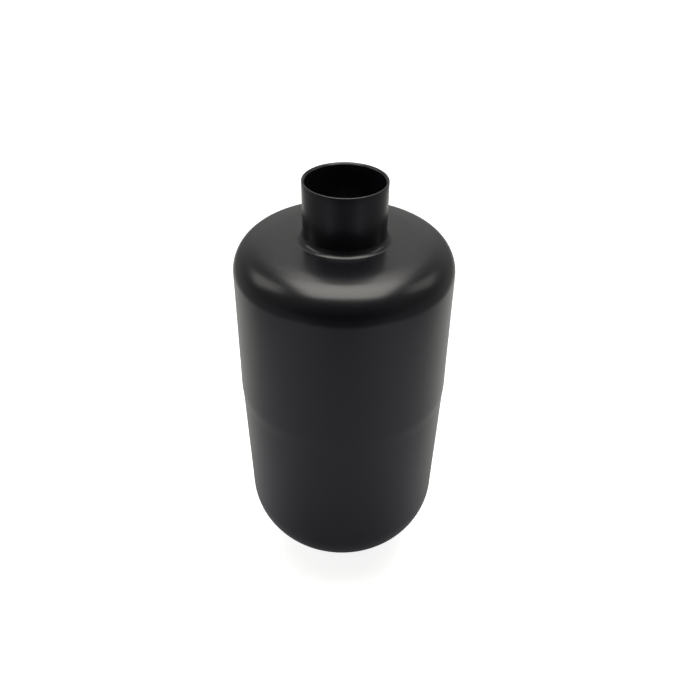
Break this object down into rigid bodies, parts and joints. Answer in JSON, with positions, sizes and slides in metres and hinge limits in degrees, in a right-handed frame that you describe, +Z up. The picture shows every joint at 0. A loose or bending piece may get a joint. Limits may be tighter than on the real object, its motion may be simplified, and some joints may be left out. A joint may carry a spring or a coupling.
{
  "type": "exhaust muffler",
  "caption": "Round satin-black steel exhaust silencer can with a plain round neck at each end, a packed chamber round a perforated core, and empty chambers behind it.",
  "frame": {"origin": "centre of the outlet neck's rim plane, at the middle of the object's lowest level", "axes": "+Z up along the can's axis, from the outlet neck's rim towards the inlet neck's rim; +Y through the first transfer tube"},
  "size_m": [0.1154, 0.1154, 0.2587],
  "materials": {
    "shell_paint": "satin",
    "pressed_steel": "satin",
    "tube_steel": "satin",
    "weld_steel": "satin",
    "steel_wool": "matte",
    "glass_packing": "matte",
    "binding_wire": "satin"
  },
  "bodies": {
    "root": {"front_cup": "shell_paint", "rear_cup": "shell_paint", "girth_weld": "shell_paint", "inlet_neck": "shell_paint", "inlet_neck_weld": "shell_paint", "outlet_neck": "shell_paint", "outlet_neck_weld": "shell_paint", "girth_backing_ring": "pressed_steel", "inlet_collar": "pressed_steel", "outlet_collar": "pressed_steel", "front_baffle": "pressed_steel", "middle_baffle": "pressed_steel", "rear_baffle": "pressed_steel", "tail_pipe_cap": "pressed_steel", "inlet_tube": "tube_steel", "tail_pipe": "tube_steel", "transfer_tube_1": "tube_steel", "transfer_tube_2": "tube_steel", "transfer_tube_3": "tube_steel", "inlet_collar_welds": "weld_steel", "inlet_tube_welds": "weld_steel", "front_baffle_welds": "weld_steel", "middle_baffle_welds": "weld_steel", "rear_baffle_welds": "weld_steel", "transfer_tube_welds": "weld_steel", "tail_pipe_welds": "weld_steel", "outlet_collar_welds": "weld_steel", "steel_wool_sleeve": "steel_wool", "packing_inner_layer": "glass_packing", "packing_outer_layer": "glass_packing", "packing_binding_wires": "binding_wire"}
  },
  "joints": []
}
